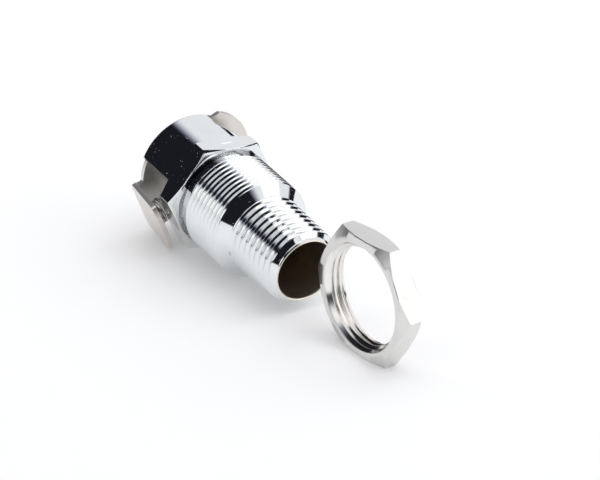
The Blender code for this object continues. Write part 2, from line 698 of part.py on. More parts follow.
def jam_nut(parts, cutters, nut_axes):
    """Chamfered hexagon nut with its thread cut by a threaded plug."""
    half = NUT_THICKNESS / 2
    prism, trim = hexagon(NUT_FLATS, -half, half, cutters, "nut_hexagon")
    trim.parent = nut_axes
    nut = add_object("jam_nut", prism, parts, nut_axes)
    boolean(nut, "INTERSECT", trim)
    end = half + CUT_PAST
    mouth = NUT_COUNTERSINK + CUT_PAST
    crest = PANEL_CREST + NUT_THREAD_GAP
    side = thread_surface(
        -end, end, PANEL_PITCH, PANEL_DEPTH, lambda height: crest, mouth, mouth,
        lambda radius, height: max(radius, NUT_COUNTERSINK + abs(height) - half),
    )
    top = swept([(0, end), (mouth, end)])
    bottom = swept([(mouth, -end), (0, -end)])
    plug = add_helper("nut_thread", joined([top, side, bottom]), cutters, nut_axes)
    boolean(nut, "DIFFERENCE", plug)
    return nut


def coupling_axes(collection):
    """Empty that lays the coupling on the surface, tilted and rolled, pipe end over the origin."""
    tilt = lie_tilt()
    height = PANEL_CREST * math.cos(tilt) - SHOULDER_STATION * math.sin(tilt)
    lean = Matrix.Rotation(tilt - math.radians(90), 4, "Y")
    roll = Matrix.Rotation(LATCH_ROLL, 4, "Z")
    place = Matrix.Translation((0, 0, height)) @ lean @ roll
    return add_object("coupling_axes", None, collection, None, place)


def nut_axes_empty(collection):
    """Empty for the nut, which stands on a flat with its axis across the coupling's."""
    upright = Matrix.Rotation(math.radians(-90), 4, "X")
    corner_up = Matrix.Rotation(math.radians(30), 4, "Z")
    turn = Matrix.Rotation(NUT_TURN, 4, "Z")
    place = Matrix.Translation((NUT_AHEAD, NUT_ASIDE, NUT_FLATS / 2))
    return add_object("nut_axes", None, collection, None, place @ turn @ upright @ corner_up)


def centre_on_surface(nodes, empties):
    """Moves the empties so that the origin lies under the middle of all the nodes."""
    bpy.context.view_layer.update()
    graph = bpy.context.evaluated_depsgraph_get()
    corners = []
    for node in nodes:
        solid = node.evaluated_get(graph)
        mesh = solid.to_mesh()
        corners += [solid.matrix_world @ vertex.co for vertex in mesh.vertices]
        solid.to_mesh_clear()
    low = Vector([min(point[axis] for point in corners) for axis in range(3)])
    high = Vector([max(point[axis] for point in corners) for axis in range(3)])
    shift = Matrix.Translation((-(low.x + high.x) / 2, -(low.y + high.y) / 2, -low.z))
    for empty in empties:
        empty.matrix_local = shift @ empty.matrix_local


def main():
    clear_scene()
    parts = bpy.data.collections.new("quick_release_coupling")
    cutters = bpy.data.collections.new("cutters")
    for collection in (parts, cutters):
        bpy.context.scene.collection.children.link(collection)
    axes = coupling_axes(parts)
    nut_axes = nut_axes_empty(parts)
    finishes = {
        "chrome_plate": (CHROME, [coupling_body(parts, cutters, axes)]),
        "stainless_sheet": (STAINLESS, [latch_plate(parts, axes)]),
        "spring_wire": (SPRING_STEEL, [
            latch_spring(parts, axes), locking_pin_spring(parts, axes), valve_spring(parts, axes),
            guide_retaining_ring(parts, axes), locking_pin(parts, axes),
        ]),
        "bare_brass": (BRASS, [valve_poppet(parts, axes), valve_guide(parts, cutters, axes)]),
        "seal_rubber": (SEAL_RUBBER, [valve_seal(parts, axes)]),
        "nickel_plate": (NICKEL, [jam_nut(parts, cutters, nut_axes)]),
    }
    nodes = []
    for name, (finish, pieces) in finishes.items():
        look = material(name, finish)
        for piece in pieces:
            piece.data.materials.append(look)
            nodes.append(piece)
    centre_on_surface(nodes, [axes, nut_axes])


main()
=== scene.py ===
"""Looks of a panel-mount quick-release coupling with a thumb latch, and of its loose jam nut.

Each piece is modelled in the axes of the coupling (+Z along the bore from the pipe end to the
head, +X towards the latch plate's ear) or of the nut, with sizes in millimetres, and is then
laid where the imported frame's joints and mounts say. Finishes are worked out from nodes in the
same axes, so that machining lines, wear and the bore's bare metal follow the pieces.
"""

from __future__ import annotations

import json
import logging
import math
from collections.abc import Callable, Sequence
from dataclasses import dataclass
from enum import Enum

import bpy
from mathutils import Matrix, Vector

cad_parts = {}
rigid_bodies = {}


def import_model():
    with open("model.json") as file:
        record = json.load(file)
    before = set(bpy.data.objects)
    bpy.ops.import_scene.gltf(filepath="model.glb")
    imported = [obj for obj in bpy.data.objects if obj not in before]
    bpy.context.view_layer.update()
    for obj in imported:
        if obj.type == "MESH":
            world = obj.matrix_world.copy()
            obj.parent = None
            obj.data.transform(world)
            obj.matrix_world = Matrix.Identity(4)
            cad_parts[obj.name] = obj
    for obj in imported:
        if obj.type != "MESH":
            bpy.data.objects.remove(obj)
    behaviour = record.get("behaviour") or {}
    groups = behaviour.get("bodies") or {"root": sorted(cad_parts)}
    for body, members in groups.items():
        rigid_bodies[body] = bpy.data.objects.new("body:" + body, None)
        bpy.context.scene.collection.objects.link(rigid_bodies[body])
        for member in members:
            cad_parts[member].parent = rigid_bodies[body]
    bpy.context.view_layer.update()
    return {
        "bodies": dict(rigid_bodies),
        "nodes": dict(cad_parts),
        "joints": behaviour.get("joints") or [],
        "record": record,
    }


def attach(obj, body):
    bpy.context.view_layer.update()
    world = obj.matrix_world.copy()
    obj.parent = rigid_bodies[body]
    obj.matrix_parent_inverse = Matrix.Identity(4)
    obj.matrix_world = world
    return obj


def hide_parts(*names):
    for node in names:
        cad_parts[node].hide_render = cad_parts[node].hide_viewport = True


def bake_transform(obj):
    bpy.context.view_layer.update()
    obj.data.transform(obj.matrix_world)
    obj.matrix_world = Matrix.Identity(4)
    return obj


LOG = logging.getLogger("coupling")
MM = 0.001
INCH = 25.4
MERGE = 0.0015  # mm, below which two points are one
SHARP = math.radians(38)  # past this an edge is shaded sharp
CHAMFER = math.radians(30)  # slope of a hexagon's chamfers
QUARTER = math.radians(90)

Point = tuple[float, float]
Piece = bpy.types.Object


class Fineness(Enum):
    """How many flats a round shape has."""

    PLATED = 192
    TURNED = 96
    DRILLED = 24
    WIRE = 12


class Body(Enum):
    """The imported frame's moving bodies."""

    COUPLING = "coupling"
    LATCH = "latch"
    PIN = "pin"
    VALVE = "valve"
    NUT = "nut"


class Part(Enum):
    """What is picked in edit mode."""

    VERTEX = (True, False, False)
    FACE = (False, False, True)


class Slot(Enum):
    """The record's material slots."""

    CHROME = "chrome_plate"
    NICKEL = "nickel_plate"
    SHEET = "stainless_sheet"
    WIRE = "spring_wire"
    BRASS = "bare_brass"
    RUBBER = "seal_rubber"


def arc(centre: Point, radius: float, start: float, end: float, steps: int) -> list[Point]:
    """Points along an arc, both ends included.

    Args:
        centre: The arc's centre.
        radius: Its radius.
        start: Angle of the first point, in degrees.
        end: Angle of the last point, in degrees.
        steps: Number of chords.

    Returns:
        The points, from start to end.
    """
    angles = [math.radians(start + (end - start) * step / steps) for step in range(steps + 1)]
    return [(centre[0] + radius * math.cos(a), centre[1] + radius * math.sin(a)) for a in angles]


class Bench:
    """Modelling moves that the pieces share, each made with Blender's own operators."""

    @staticmethod
    def choose(*pieces: Piece) -> None:
        """Select these pieces and nothing else; the first one is active."""
        bpy.ops.object.select_all(action="DESELECT")
        for piece in pieces:
            piece.select_set(True)
        bpy.context.view_layer.objects.active = pieces[0]

    @staticmethod
    def named(name: str) -> Piece:
        """Name the object that the last operator added."""
        piece = bpy.context.active_object
        piece.name = piece.data.name = name
        return piece

    @staticmethod
    def editing(part: Part) -> None:
        """Enter edit mode on the active piece, picking vertices or faces."""
        bpy.context.tool_settings.mesh_select_mode = part.value
        bpy.ops.object.mode_set(mode="EDIT")

    @classmethod
    def outline(cls, name: str, points: Sequence[Point], flat: bool = False) -> Piece:
        """Draw an open outline out of one vertex, point by point.

        Args:
            name: The new object's name.
            points: (radius, height) in the XZ plane, or (x, y) for a flat outline.
            flat: Whether the outline lies in the XY plane.

        Returns:
            The outline.
        """
        bpy.ops.object.select_all(action="DESELECT")
        bpy.ops.mesh.primitive_plane_add(size=1.0)
        piece = cls.named(name)
        cls.editing(Part.VERTEX)
        bpy.ops.mesh.merge(type="CENTER")
        last = Vector((0.0, 0.0, 0.0))
        for number, (across, along) in enumerate(points):
            place = Vector((across, along, 0.0)) if flat else Vector((across, 0.0, along))
            if number == 0:
                bpy.ops.transform.translate(value=place)
            else:
                bpy.ops.mesh.extrude_vertices_move(TRANSFORM_OT_translate={"value": place - last})
            last = place
        bpy.ops.object.mode_set(mode="OBJECT")
        return piece

    @classmethod
    def spun(cls, name: str, points: Sequence[Point], fineness: Fineness) -> Piece:
        """Turn an outline all the way round Z, as a surface whose normals aren't set yet."""
        piece = cls.outline(name, points)
        cls.editing(Part.VERTEX)
        bpy.ops.mesh.select_all(action="SELECT")
        bpy.ops.mesh.spin(
            steps=fineness.value, angle=2 * math.pi, center=(0, 0, 0), axis=(0, 0, 1)
        )
        bpy.ops.object.mode_set(mode="OBJECT")
        return piece

    @classmethod
    def turned(cls, name: str, points: Sequence[Point], fineness: Fineness) -> Piece:
        """Turn a closed solid from its outline."""
        return cls.sewn(cls.spun(name, points, fineness))

    @classmethod
    def sewn(cls, *pieces: Piece) -> Piece:
        """Join surfaces whose edges meet, merge their doubles and point all faces outwards."""
        cls.choose(*pieces)
        if len(pieces) > 1:
            bpy.ops.object.join()
        cls.editing(Part.VERTEX)
        bpy.ops.mesh.select_all(action="SELECT")
        bpy.ops.mesh.remove_doubles(threshold=MERGE)
        bpy.ops.mesh.dissolve_degenerate(threshold=MERGE)
        bpy.ops.mesh.normals_make_consistent(inside=False)
        bpy.ops.object.mode_set(mode="OBJECT")
        return pieces[0]

    @classmethod
    def applied(cls, piece: Piece, kind: str, **settings: object) -> Piece:
        """Give a piece one modifier and apply it.

        Args:
            piece: The piece.
            kind: The modifier's type.
            **settings: Its settings.

        Returns:
            The same piece.
        """
        cls.choose(piece)
        modifier = piece.modifiers.new(kind.lower(), kind)
        for key, value in settings.items():
            setattr(modifier, key, value)
        bpy.ops.object.modifier_apply(modifier=modifier.name)
        return piece

    @classmethod
    def combined(cls, piece: Piece, operation: str, tool: Piece) -> Piece:
        """Cut, join or trim a piece with a tool, and put the tool away."""
        cls.applied(piece, "BOOLEAN", operation=operation, solver="EXACT", object=tool)
        bpy.data.objects.remove(tool)
        return piece

    @classmethod
    def box(cls, name: str, low: Sequence[float], high: Sequence[float]) -> Piece:
        """Add a cube stretched between two corners."""
        middle = [(a + b) / 2 for a, b in zip(low, high)]
        bpy.ops.object.select_all(action="DESELECT")
        bpy.ops.mesh.primitive_cube_add(size=1.0, location=middle)
        piece = cls.named(name)
        piece.scale = [b - a for a, b in zip(low, high)]
        bpy.ops.object.transform_apply(location=True, rotation=True, scale=True)
        return piece

    @classmethod
    def rod(
        cls, name: str, radius: float, depth: float, middle: Sequence[float], sides: int,
        tip: float = 0.0,
    ) -> Piece:
        """Add a straight bar along Z, or tipped from Z towards X.

        Args:
            name: The new object's name.
            radius: To the corners of its section.
            depth: Its length.
            middle: Where its middle is.
            sides: Number of its sides.
            tip: How far it is tipped, in radians.

        Returns:
            The bar.
        """
        bpy.ops.object.select_all(action="DESELECT")
        bpy.ops.mesh.primitive_cylinder_add(
            vertices=sides, radius=radius, depth=depth, location=middle, rotation=(0, tip, 0)
        )
        piece = cls.named(name)
        bpy.ops.object.transform_apply(location=True, rotation=True, scale=True)
        return piece

    @classmethod
    def laid(cls, piece: Piece, place: Matrix) -> Piece:
        """Move a piece out of its own axes, in millimetres, and keep its place in its mesh."""
        cls.choose(piece)
        piece.matrix_world = place @ Matrix.Scale(MM, 4)
        bpy.ops.object.transform_apply(location=True, rotation=True, scale=True)
        return piece

    @classmethod
    def smoothed(cls, piece: Piece) -> Piece:
        """Shade a piece smooth between its sharp edges, with the broad faces leading."""
        cls.choose(piece)
        bpy.ops.object.shade_smooth_by_angle(angle=SHARP)
        return cls.applied(piece, "WEIGHTED_NORMAL", keep_sharp=True, weight=80)

    @classmethod
    def hexagon(
        cls, name: str, flats: float, low: float, high: float, edge: float,
        recess: Point = (0.0, 0.0),
    ) -> Piece:
        """A hexagonal prism with a corner towards +Y, its two faces chamfered to a circle.

        Args:
            name: The new object's name.
            flats: Width across the flats.
            low: Height of the lower face.
            high: Height of the upper face.
            edge: Rounding of the prism's edges.
            recess: Radius and depth of a round recess in the lower face.

        Returns:
            The prism.
        """
        corner = flats / math.sqrt(3)
        prism = cls.rod(name, corner, high - low, (0, 0, (low + high) / 2), 6)
        cls.applied(prism, "BEVEL", width=edge, segments=2, limit_method="ANGLE")
        start, reach = flats / 2 - edge, corner + edge
        slope = (reach - start) * math.tan(CHAMFER)
        outline = [
            (0, high), (start, high), (reach, high - slope), (reach, low + slope), (start, low),
        ]
        radius, depth = recess
        if depth:
            outline += [(radius, low), (radius, low + depth)]
        outline.append((0, low + depth))
        trim = cls.turned(name + "_trim", outline, Fineness.PLATED)
        return cls.combined(prism, "INTERSECT", trim)


@dataclass(frozen=True)
class Thread:
    """A 60 degree thread with rounded crests and roots, in millimetres.

    Attributes:
        pitch: Distance between crests.
        depth: From crest to root.
    """

    pitch: float
    depth: float

    # One pitch as (share of the pitch, share of the depth below the crest), from root to root.
    FORM = (
        (0.0, 1.0), (0.05, 0.97), (0.10, 0.87), (0.40, 0.13), (0.45, 0.03), (0.5, 0.0),
        (0.55, 0.03), (0.60, 0.13), (0.90, 0.87), (0.95, 0.97), (1.0, 1.0),
    )

    def side(
        self,
        name: str,
        low: Point,
        high: Point,
        crest: Callable[[float], float],
        limit: Callable[[float, float], float],
    ) -> Piece:
        """Wind the thread's open side, closed down to a plain ring at each end.

        Args:
            name: The new object's name.
            low: Radius and height of the lower ring.
            high: Radius and height of the upper ring.
            crest: The crest's radius at a height.
            limit: The radius that a lead-in or countersink makes of a radius and a height.

        Returns:
            The surface.
        """
        reference = crest(low[1])
        start = low[1] - 1.5 * self.pitch
        form = [(reference - self.depth * d, start + self.pitch * p) for p, d in self.FORM]
        piece = Bench.outline(name, form)
        steps = Fineness.PLATED.value
        turns = math.ceil((high[1] - low[1]) / self.pitch) + 2
        Bench.applied(
            piece, "SCREW", screw_offset=self.pitch, iterations=turns, steps=steps,
            render_steps=steps, use_merge_vertices=True, merge_threshold=MERGE,
        )
        for vertex in piece.data.vertices:
            x, y, height = vertex.co
            angle, fall = math.atan2(y, x), math.hypot(x, y) - reference
            if height <= low[1]:
                radius, height = low
            elif height >= high[1]:
                radius, height = high
            else:
                radius = limit(crest(height) + fall, height)
            vertex.co = (radius * math.cos(angle), radius * math.sin(angle), height)
        return piece


@dataclass(frozen=True)
class Coil:
    """A compression spring whose last turns close up, in millimetres.

    Attributes:
        radius: To the middle of the wire.
        wire: The wire's thickness.
        length: Over both ends.
        turns: Number of turns.
    """

    radius: float
    wire: float
    length: float
    turns: float
    steps_per_turn: int = 32
    easing: float = 0.6

    def build(self, name: str, place: Matrix) -> Piece:
        """Wind the wire's round section about Z and set its foot at a place.

        Args:
            name: The new object's name.
            place: Where the spring's lower end goes, with its Z along the spring.

        Returns:
            The spring, in the coupling's axes.
        """
        bpy.ops.object.select_all(action="DESELECT")
        bpy.ops.mesh.primitive_circle_add(
            vertices=Fineness.WIRE.value, radius=self.wire / 2,
            location=(self.radius, 0, self.wire / 2), rotation=(math.radians(90), 0, 0),
        )
        piece = Bench.named(name)
        bpy.ops.object.transform_apply(location=True, rotation=True, scale=True)
        steps = round(self.turns * self.steps_per_turn)
        rise = self.length - self.wire
        Bench.applied(
            piece, "SCREW", angle=2 * math.pi * self.turns, screw_offset=rise, steps=steps,
            render_steps=steps,
        )
        for number, vertex in enumerate(piece.data.vertices):
            share = (number // Fineness.WIRE.value) / steps
            vertex.co.z -= rise * self.easing * math.sin(2 * math.pi * share) / (2 * math.pi)
        Bench.editing(Part.VERTEX)
        bpy.ops.mesh.select_all(action="SELECT")
        bpy.ops.mesh.fill_holes(sides=0)
        bpy.ops.mesh.normals_make_consistent(inside=False)
        bpy.ops.object.mode_set(mode="OBJECT")
        piece.matrix_world = place
        bpy.ops.object.transform_apply(location=True, rotation=True, scale=True)
        return piece


class Level:
    """A number that varies over a surface; Python's arithmetic on it adds Math nodes."""

    def __init__(self, nodes: Nodes, socket: bpy.types.NodeSocket) -> None:
        """Wrap one output socket of a tree."""
        self.nodes = nodes
        self.socket = socket

    def _math(self, operation: str, *values: Level | float) -> Level:
        """Add one Math node and wrap its result."""
        node = self.nodes.node("ShaderNodeMath", {"operation": operation}, dict(enumerate(values)))
        return Level(self.nodes, node.outputs[0])

    def __add__(self, other: Level | float) -> Level:
        """This and another value, summed."""
        return self._math("ADD", self, other)

    __radd__ = __add__

    def __sub__(self, other: Level | float) -> Level:
        """This value less another."""
        return self._math("SUBTRACT", self, other)

    def __rsub__(self, other: float) -> Level:
        """A number less this value."""
        return self._math("SUBTRACT", other, self)

    def __mul__(self, other: Level | float) -> Level:
        """This value times another."""
        return self._math("MULTIPLY", self, other)

    __rmul__ = __mul__

    def __pow__(self, other: float) -> Level:
        """This value to a power."""
        return self._math("POWER", self, other)

    def above(self, edge: float, width: float) -> Level:
        """0 below an edge and 1 above it, with a soft step of this width."""
        settings = {"interpolation_type": "SMOOTHSTEP"}
        limits = {"Value": self, "From Min": edge - width / 2, "From Max": edge + width / 2}
        node = self.nodes.node("ShaderNodeMapRange", settings, limits)
        return Level(self.nodes, node.outputs["Result"])

    def angle_to(self, other: Level) -> Level:
        """The angle of the point (other, this) about the origin."""
        return self._math("ARCTAN2", self, other)


class Nodes:
    """A shader tree that nodes are added to."""

    def __init__(self, tree: bpy.types.NodeTree) -> None:
        """Wrap a material's or a world's tree."""
        self.tree = tree

    def node(
        self, kind: str, settings: dict[str, object], inputs: dict[int | str, object]
    ) -> bpy.types.Node:
        """Add any node.

        Args:
            kind: The node's type.
            settings: Its properties.
            inputs: A value, a socket or a Level for each input, by name or number.

        Returns:
            The node.
        """
        node = self.tree.nodes.new(kind)
        for key, value in settings.items():
            setattr(node, key, value)
        for key, value in inputs.items():
            self.feed(node.inputs[key], value)
        return node

    def feed(self, socket: bpy.types.NodeSocket, value: object) -> None:
        """Set an input to a value, or link it to a socket or a Level."""
        if isinstance(value, Level):
            value = value.socket
        if isinstance(value, bpy.types.NodeSocket):
            self.tree.links.new(value, socket)
        else:
            socket.default_value = value

    def blend(self, share: Level, first: object, second: object) -> bpy.types.NodeSocket:
        """A colour between two, by share."""
        inputs = {"Factor": share, 6: first, 7: second}
        return self.node("ShaderNodeMix", {"data_type": "RGBA"}, inputs).outputs[2]


class Recipe(Nodes):
    """The node tree of one material, read in the own axes of the piece that it covers."""

    def __init__(self, name: str, place: Matrix) -> None:
        """Start a material whose coordinates are the piece's own axes, in millimetres."""
        self.material = bpy.data.materials.new(name)
        self.material.use_nodes = True
        super().__init__(self.material.node_tree)
        self.shader = self.tree.nodes["Principled BSDF"]
        where = self.node("ShaderNodeTexCoord", {}, {}).outputs["Object"]
        mapping = self.node("ShaderNodeMapping", {"vector_type": "TEXTURE"}, {
            "Vector": where, "Location": place.to_translation(),
            "Rotation": place.to_euler(), "Scale": (MM, MM, MM),
        })
        self.place = mapping.outputs["Vector"]
        parts = self.node("ShaderNodeSeparateXYZ", {}, {"Vector": self.place})
        self.x, self.y, self.z = (Level(self, socket) for socket in parts.outputs)

    def point(self, x: Level | float, y: Level | float, z: Level | float) -> bpy.types.NodeSocket:
        """A position made of three values."""
        return self.node("ShaderNodeCombineXYZ", {}, {0: x, 1: y, 2: z}).outputs[0]

    def radius(self) -> Level:
        """Distance from the piece's Z axis."""
        return (self.x * self.x + self.y * self.y) ** 0.5

    def noise(
        self, scale: float, detail: float = 3.0, where: bpy.types.NodeSocket | None = None
    ) -> Level:
        """Cloudy noise from 0 to 1, with this many features for each millimetre."""
        inputs = {"Vector": where or self.place, "Scale": scale, "Detail": detail}
        return Level(self, self.node("ShaderNodeTexNoise", {}, inputs).outputs["Fac"])

    def cells(self, scale: float) -> Level:
        """Distance to the nearest of many scattered points."""
        inputs = {"Vector": self.place, "Scale": scale}
        return Level(self, self.node("ShaderNodeTexVoronoi", {}, inputs).outputs["Distance"])

    def bumped(self, height: Level, distance: float) -> bpy.types.NodeSocket:
        """A normal from heights, where 1 stands this far out, in millimetres."""
        inputs = {"Height": height, "Distance": distance * MM, "Strength": 1.0}
        return self.node("ShaderNodeBump", {}, inputs).outputs["Normal"]

    def finish(self, **inputs: object) -> bpy.types.Material:
        """Feed the surface shader and give back the material."""
        for key, value in inputs.items():
            self.feed(self.shader.inputs[key.replace("_", " ")], value)
        return self.material


Colour = tuple[float, float, float, float]
WHITE: Colour = (1.0, 1.0, 1.0, 1.0)


@dataclass(frozen=True)
class Chrome:
    """Bright chrome plate outside, and unplated metal in the bore, dulled by machining and painted
    darker as shade.

    Attributes:
        colour: The plate's reflection.
        haze: The same where the plate is a little dull.
        bore_colour_and_shade: The bare bore's, darkened as painted shade.
        rim_colour: The ring of bare metal round the mouth.
        bore_radius: Inside this radius the metal is bare.
        rim_width: How far the mouth's ring goes past that.
        bore_top: Height at which the bare bore ends.
        knocks_from: Height above which the plate has most of its small knocks.
    """

    colour: Colour = (0.84, 0.86, 0.86, 1.0)
    haze: Colour = (0.77, 0.79, 0.80, 1.0)
    # the bore's colour is bare metal painted darker to stand in for the shade inside the bore
    bore_colour_and_shade: Colour = (0.52, 0.45, 0.385, 1.0)
    rim_colour: Colour = (0.93, 0.87, 0.76, 1.0)
    bore_radius: float = 5.2
    rim_width: float = 0.32
    bore_top: float = 24.0
    knocks_from: float = 25.5

    def material(self, place: Matrix) -> bpy.types.Material:
        """Mix plate, specks, hairline scratches, the mouth's rim and the bare bore, whose colour holds
        painted shade.
        """
        recipe = Recipe("chrome_plate", place)
        radius = recipe.radius()
        angle = recipe.y.angle_to(recipe.x)
        # inside marks the bore, coloured as bare metal darkened with painted shade
        inside = 1 - radius.above(self.bore_radius, 0.04)
        inside = inside * (1 - recipe.z.above(self.bore_top, 0.2))
        rim = 1 - radius.above(self.bore_radius + self.rim_width, 0.06)
        rim = rim * (1 - recipe.z.above(0.4, 0.2))
        cloud = recipe.noise(0.35, 2.0)
        scratch_place = recipe.point(recipe.x * 0.6 + recipe.z * 2.2, recipe.y * 4.0, recipe.z * 0.5)
        scratches = recipe.noise(1.6, 4.0, scratch_place).above(0.70, 0.06)
        knocked = recipe.z.above(self.knocks_from, 1.0) * 0.8 + 0.2
        specks = (1 - recipe.cells(1.5).above(0.15, 0.08)) * recipe.noise(0.32, 2.0).above(0.54, 0.1)
        specks = specks * knocked
        plate = recipe.blend(cloud, self.colour, self.haze)
        plate = recipe.blend(rim, plate, self.rim_colour)
        ring_place = recipe.point(radius * 1.0, angle * 0.6, recipe.z * 9.0)
        rings = recipe.noise(1.0, 3.0, ring_place)
        # the bore's colour is bare metal painted darker as shade; the rings mix in a still darker tone
        shade = tuple(0.6 * share for share in self.bore_colour_and_shade[:3]) + (1.0,)
        bare = recipe.blend(rings, self.bore_colour_and_shade, shade)
        dull = scratches * 0.30 + specks * 0.50 + cloud * 0.03
        marks = specks * 0.8 - scratches * 0.5
        heights = recipe.noise(5.0, 2.0) * 0.35 + marks + inside * rings * 2.0
        return recipe.finish(
            Base_Color=recipe.blend(inside, plate, bare), Metallic=1.0,
            Roughness=0.045 + dull + inside * 0.38 + rim * 0.12,
            Normal=recipe.bumped(heights, 0.0016),
        )


@dataclass(frozen=True)
class Nickel:
    """Satin nickel plate over turned faces and drawn flats."""

    colour: Colour = (0.80, 0.79, 0.775, 1.0)
    shade: Colour = (0.71, 0.70, 0.685, 1.0)
    thread_colour: Colour = (0.88, 0.86, 0.83, 1.0)
    thread_radius: float = 9.0

    def material(self, place: Matrix) -> bpy.types.Material:
        """Mix turning rings on the faces with draw lines on the flats and a bright thread."""
        recipe = Recipe("nickel_plate", place)
        radius = recipe.radius()
        angle = recipe.y.angle_to(recipe.x)
        thread = 1 - radius.above(self.thread_radius, 0.15)
        rings = recipe.noise(1.0, 4.0, recipe.point(radius * 11.0, angle * 1.3, recipe.z * 1.0))
        grain = recipe.noise(3.2, 3.0)
        cloud = recipe.noise(0.4, 2.0)
        colour = recipe.blend(cloud * 0.6 + rings * 0.4, self.colour, self.shade)
        colour = recipe.blend(thread, colour, self.thread_colour)
        heights = rings * 1.0 + grain * 0.5
        return recipe.finish(
            Base_Color=colour, Metallic=1.0,
            Roughness=0.27 + rings * 0.10 + cloud * 0.04 - thread * 0.20,
            Normal=recipe.bumped(heights * (1 - thread * 0.8), 0.004),
        )


@dataclass(frozen=True)
class Sheet:
    """Tumbled stainless sheet, satin, with fine rolling lines along the plate."""

    colour: Colour = (0.80, 0.77, 0.73, 1.0)
    shade: Colour = (0.68, 0.645, 0.605, 1.0)

    def material(self, place: Matrix) -> bpy.types.Material:
        """Mix rolling lines with the pits and rubs of tumbling."""
        recipe = Recipe("stainless_sheet", place)
        lines = recipe.noise(1.0, 4.0, recipe.point(recipe.x * 0.9, recipe.y * 9.0, recipe.z * 1.2))
        pits = recipe.noise(4.5, 3.0)
        cloud = recipe.noise(0.5, 2.0)
        colour = recipe.blend(lines * 0.5 + cloud * 0.5, self.colour, self.shade)
        return recipe.finish(
            Base_Color=colour, Metallic=1.0, Roughness=0.26 + pits * 0.14 + cloud * 0.06,
            Normal=recipe.bumped(lines * 0.7 + pits, 0.004),
        )


@dataclass(frozen=True)
class Wire:
    """Drawn spring wire or a ground pin, bright with faint draw marks."""

    colour: Colour = (0.66, 0.65, 0.63, 1.0)
    shade: Colour = (0.47, 0.46, 0.44, 1.0)

    def material(self, place: Matrix) -> bpy.types.Material:
        """Mix two greys by a fine grain."""
        recipe = Recipe("spring_wire", place)
        grain = recipe.noise(6.0, 3.0)
        cloud = recipe.noise(0.8, 2.0)
        return recipe.finish(
            Base_Color=recipe.blend(cloud, self.colour, self.shade), Metallic=1.0,
            Roughness=0.20 + grain * 0.16, Normal=recipe.bumped(grain, 0.003),
        )


@dataclass(frozen=True)
class Brass:
    """Turned brass, browned by use, with tool rings."""

    colour: Colour = (0.71, 0.54, 0.29, 1.0)
    shade: Colour = (0.42, 0.29, 0.15, 1.0)

    def material(self, place: Matrix) -> bpy.types.Material:
        """Mix clean and browned brass, with rings round the axis."""
        recipe = Recipe("bare_brass", place)
        rings_place = recipe.point(recipe.radius() * 8.0, 0.0, recipe.z * 8.0)
        rings = recipe.noise(1.0, 3.0, rings_place)
        cloud = recipe.noise(0.7, 3.0)
        return recipe.finish(
            Base_Color=recipe.blend(cloud, self.colour, self.shade), Metallic=1.0,
            Roughness=0.24 + cloud * 0.18, Normal=recipe.bumped(rings, 0.005),
        )


@dataclass(frozen=True)
class Rubber:
    """Black nitrile rubber with a faint bloom."""

    colour: Colour = (0.018, 0.018, 0.019, 1.0)
    bloom: Colour = (0.06, 0.06, 0.062, 1.0)

    def material(self, place: Matrix) -> bpy.types.Material:
        """Mix clean rubber with its bloom."""
        recipe = Recipe("seal_rubber", place)
        cloud = recipe.noise(1.6, 4.0)
        return recipe.finish(
            Base_Color=recipe.blend(cloud.above(0.55, 0.3), self.colour, self.bloom),
            Roughness=0.42 + cloud * 0.2, Normal=recipe.bumped(recipe.noise(9.0), 0.004),
        )


FINISHES = {
    Slot.CHROME: Chrome(), Slot.NICKEL: Nickel(), Slot.SHEET: Sheet(), Slot.WIRE: Wire(),
    Slot.BRASS: Brass(), Slot.RUBBER: Rubber(),
}


